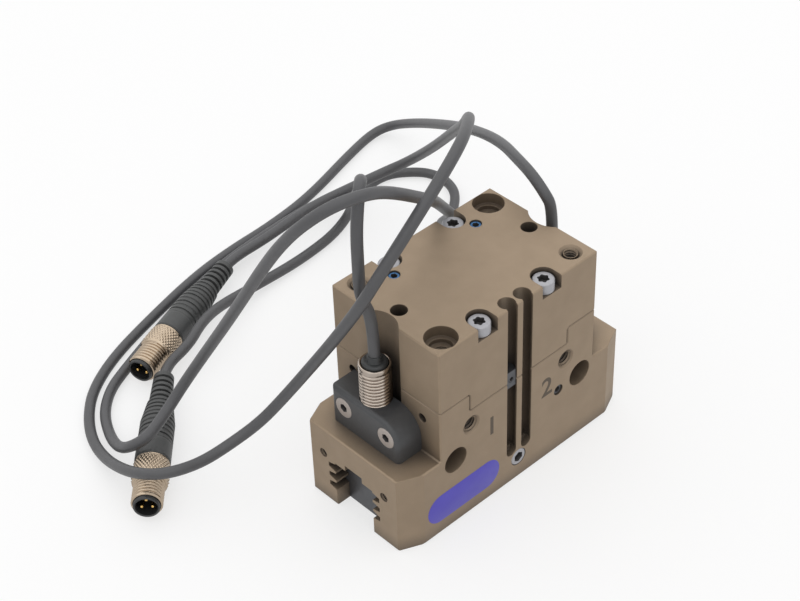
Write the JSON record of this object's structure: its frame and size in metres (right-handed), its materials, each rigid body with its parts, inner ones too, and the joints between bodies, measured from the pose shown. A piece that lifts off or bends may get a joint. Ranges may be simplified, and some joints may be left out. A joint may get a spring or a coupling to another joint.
{
  "type": "pneumatic parallel gripper",
  "caption": "Compact pneumatic parallel gripper: flanged housing and cover, wedge-hook drive, toothed sliding jaws, clamped inductive sensors and their loose leads with round plugs.",
  "frame": {"origin": "middle of the jaw-side face that the gripper stands on", "axes": "+X along the jaws, -Y the front with the air ports, +Z from the jaw side to the mounting face"},
  "size_m": [0.1584, 0.134, 0.1012],
  "materials": {
    "anodised": "matt hard-anodised, bronze-taupe",
    "steel": "zinc-plated, satin",
    "dark_steel": "hardened and blackened, ground",
    "piston_metal": "turned, clear anodised",
    "magnet": "sintered",
    "bronze": "plain bearing bronze",
    "seal": "matt nitrile",
    "bracket": "matt dark grey",
    "nickel": "nickel-plated",
    "sensor_plastic": "satin dark grey",
    "plug_plastic": "matt moulded",
    "gold": "gold-plated",
    "lead": "matt jacket"
  },
  "bodies": {
    "body": {"housing": "anodised", "cover": "anodised", "bottom_plate": "steel", "bottom_plate_screws": "steel", "cover_screws": "steel", "dowel_pins": "steel", "top_set_screws": "steel", "front_set_screw": "steel", "purge_plug": "steel", "slot_block_screw": "steel", "bracket_screws": "steel", "spring_left": "steel", "spring_right": "steel", "slot_block": "steel", "rod_bush": "bronze", "rod_seal": "seal", "cover_seal": "seal", "sensor_bracket_left": "bracket", "sensor_bracket_right": "bracket", "sensor_barrel_left": "nickel", "sensor_barrel_right": "nickel", "sensor_face_left": "sensor_plastic", "sensor_face_right": "sensor_plastic", "sensor_cap_left": "sensor_plastic", "sensor_cap_right": "sensor_plastic", "plug_insert_left": "plug_plastic", "plug_insert_right": "plug_plastic", "plug_grip_left": "plug_plastic", "plug_grip_right": "plug_plastic", "plug_pins_left": "gold", "plug_pins_right": "gold", "lead_left": "lead", "lead_right": "lead"},
    "piston": {"piston": "piston_metal", "piston_seal": "seal", "piston_magnet": "magnet", "piston_screw": "steel", "wedge_hook": "dark_steel"},
    "left_jaw": {"jaw_left": "dark_steel", "cam_left": "steel", "cam_screws_left": "steel"},
    "right_jaw": {"jaw_right": "dark_steel", "cam_right": "steel", "cam_screws_right": "steel"},
    "left_plug_ring": {"plug_ring_left": "nickel"},
    "right_plug_ring": {"plug_ring_right": "nickel"}
  },
  "joints": [
    {"name": "piston_slide", "type": "slide", "parent": "body", "child": "piston", "axis": [0, 0, 1], "range_m": [0, 0.0057], "stiffness_N_per_m": 8000, "springref_m": -0.006, "deforming": ["spring_left", "spring_right"]},
    {"name": "left_jaw_slide", "type": "slide", "parent": "body", "child": "left_jaw", "axis": [-1, 0, 0], "range_m": [0, 0.004]},
    {"name": "right_jaw_slide", "type": "slide", "parent": "body", "child": "right_jaw", "axis": [1, 0, 0], "range_m": [0, 0.004]},
    {"name": "left_plug_ring_turn", "type": "hinge", "parent": "body", "child": "left_plug_ring", "pos_m": [-0.07537, 0.03519, 0.005], "axis": [0.6872, 0.7264, 0], "continuous": true},
    {"name": "right_plug_ring_turn", "type": "hinge", "parent": "body", "child": "right_plug_ring", "pos_m": [-0.04621, 0.07586, 0.005], "axis": [0.9288, 0.3706, 0], "continuous": true}
  ],
  "couplings": [
    {"joint": "left_jaw_slide", "follows": "piston_slide", "ratio": 0.70175},
    {"joint": "right_jaw_slide", "follows": "piston_slide", "ratio": 0.70175}
  ]
}
